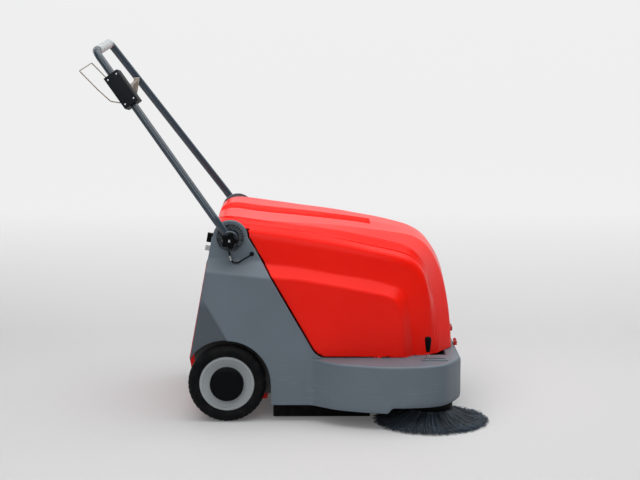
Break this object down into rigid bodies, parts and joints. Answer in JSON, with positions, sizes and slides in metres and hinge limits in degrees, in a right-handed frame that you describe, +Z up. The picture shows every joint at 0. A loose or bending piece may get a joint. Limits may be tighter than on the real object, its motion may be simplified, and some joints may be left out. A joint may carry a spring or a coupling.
{
  "type": "walk-behind sweeper",
  "caption": "Walk-behind battery floor sweeper with a hinged hood, side brush, main roller, pull-out dirt hopper, rear wheels and a tilting tube handle.",
  "frame": {"origin": "middle of the footprint, on the floor", "axes": "+X towards the machine's front, +Y its left side, +Z up"},
  "size_m": [1.1917, 0.7985, 1.078],
  "materials": {
    "grey_plastic": "moulded, fine grain, satin",
    "red_plastic": "glossy moulded",
    "black_plastic": "fine grain",
    "cover_plastic": "fine grain",
    "pale_foam": "soft",
    "slate_paint": "glossy powder coat",
    "black_steel": "satin",
    "bright_steel": "zinc plated",
    "black_rubber": "matt",
    "tyre_rubber": "matt",
    "wheel_grey": "moulded",
    "bristle": "polypropylene strands"
  },
  "bodies": {
    "root": {"lower_body": "grey_plastic", "rear_panel": "grey_plastic", "chassis": "black_steel", "axle_right": "bright_steel", "axle_left": "bright_steel", "caster_plate": "bright_steel", "brush_bearing_right": "bright_steel", "brush_bearing_left": "bright_steel", "drive_belt": "black_rubber", "brush_motor": "black_steel", "filter_panel": "pale_foam", "fan_housing": "black_plastic", "battery_tray": "black_steel", "battery": "black_plastic", "skirt_right": "black_rubber", "skirt_left": "black_rubber", "rear_flap": "black_rubber", "front_flap": "black_rubber", "lever_plate": "black_steel", "tooth_ring_right": "black_plastic", "tooth_ring_left": "black_plastic", "control_cable": "black_rubber", "hood_hinge_right": "bright_steel", "hood_hinge_left": "bright_steel"},
    "wheel_right": {"tyre_right": "tyre_rubber", "rim_right": "wheel_grey", "hub_cap_right": "black_plastic"},
    "wheel_left": {"tyre_left": "tyre_rubber", "rim_left": "wheel_grey", "hub_cap_left": "black_plastic"},
    "caster_swivel": {"caster_fork": "bright_steel", "caster_axle": "bright_steel"},
    "caster_roller": {"caster_wheel": "black_rubber"},
    "roller": {"main_brush": "bristle", "brush_pulley": "black_steel"},
    "motor_drive": {"motor_pulley": "bright_steel"},
    "hopper": {"dirt_hopper": "red_plastic", "hopper_handle": "black_plastic"},
    "brush_carrier": {"brush_arm": "black_steel", "side_brush_motor": "black_steel"},
    "side_brush": {"brush_hub": "black_plastic", "bristles_1": "bristle", "bristles_2": "bristle", "bristles_3": "bristle", "bristles_4": "bristle"},
    "lever": {"lever_shaft": "bright_steel", "lever_grip": "black_plastic"},
    "handle": {"handle_tube": "slate_paint", "handle_grip": "pale_foam", "switch_box": "black_plastic", "switch_box_cover": "cover_plastic", "cross_rod": "bright_steel"},
    "bail": {"bail_wire": "bright_steel"},
    "knob_right": {"clamp_knob_right": "black_plastic"},
    "knob_left": {"clamp_knob_left": "black_plastic"},
    "hood": {"hood": "red_plastic"},
    "power_knob": {"power_knob": "black_plastic"},
    "key": {"key_switch": "bright_steel"}
  },
  "joints": [
    {"name": "wheel_right_spin", "type": "hinge", "parent": "root", "child": "wheel_right", "pos_m": [-0.1681, -0.2163, 0.1125], "axis": [0, 1, 0], "continuous": true},
    {"name": "wheel_left_spin", "type": "hinge", "parent": "root", "child": "wheel_left", "pos_m": [-0.1681, 0.3417, 0.1125], "axis": [0, 1, 0], "continuous": true},
    {"name": "caster_turn", "type": "hinge", "parent": "root", "child": "caster_swivel", "pos_m": [0.4169, 0.0627, 0.12], "axis": [0, 0, 1], "continuous": true},
    {"name": "caster_spin", "type": "hinge", "parent": "caster_swivel", "child": "caster_roller", "pos_m": [0.3919, 0.0627, 0.05], "axis": [0, 1, 0], "continuous": true},
    {"name": "roller_spin", "type": "hinge", "parent": "root", "child": "roller", "pos_m": [0.1219, 0.0627, 0.13], "axis": [0, 1, 0], "continuous": true},
    {"name": "motor_spin", "type": "hinge", "parent": "root", "child": "motor_drive", "pos_m": [0.3319, 0.3247, 0.232], "axis": [0, 1, 0], "continuous": true},
    {"name": "hopper_pull", "type": "slide", "parent": "root", "child": "hopper", "axis": [-1, 0, 0], "range_m": [0, 0.32]},
    {"name": "brush_lift", "type": "slide", "parent": "root", "child": "brush_carrier", "axis": [0, 0, 1], "range_m": [0, 0.024]},
    {"name": "side_brush_spin", "type": "hinge", "parent": "brush_carrier", "child": "side_brush", "pos_m": [0.4239, -0.2273, 0.05], "axis": [0, 0, 1], "continuous": true},
    {"name": "lever_tilt", "type": "hinge", "parent": "root", "child": "lever", "pos_m": [0.4129, -0.2423, 0.145], "axis": [0, 1, 0], "range_deg": [0, 30]},
    {"name": "handle_tilt", "type": "hinge", "parent": "root", "child": "handle", "pos_m": [-0.1561, 0.0627, 0.538], "axis": [0, 1, 0], "range_deg": [-20, 40]},
    {"name": "bail_squeeze", "type": "hinge", "parent": "handle", "child": "bail", "pos_m": [-0.4681, 0.0627, 0.912], "axis": [0, 1, 0], "range_deg": [0, 18], "stiffness_Nm_per_rad": 0.6, "springref_deg": -34.38},
    {"name": "knob_right_turn", "type": "hinge", "parent": "root", "child": "knob_right", "pos_m": [-0.1561, -0.2573, 0.538], "axis": [0, 1, 0], "continuous": true},
    {"name": "knob_left_turn", "type": "hinge", "parent": "root", "child": "knob_left", "pos_m": [-0.1561, 0.3827, 0.538], "axis": [0, 1, 0], "continuous": true},
    {"name": "hood_open", "type": "hinge", "parent": "root", "child": "hood", "pos_m": [0.5049, 0.0627, 0.196], "axis": [0, 1, 0], "range_deg": [0, 65]},
    {"name": "power_turn", "type": "hinge", "parent": "root", "child": "power_knob", "pos_m": [-0.2077, -0.0873, 0.515], "axis": [-0.9832, 0, 0.1827], "range_deg": [0, 90]},
    {"name": "key_turn", "type": "hinge", "parent": "root", "child": "key", "pos_m": [-0.2135, -0.0873, 0.484], "axis": [-0.9832, 0, 0.1827], "range_deg": [0, 90]}
  ],
  "couplings": [
    {"joint": "lever_tilt", "follows": "brush_lift", "rad_per_m": 21.8},
    {"joint": "motor_spin", "follows": "roller_spin", "ratio": 3}
  ]
}
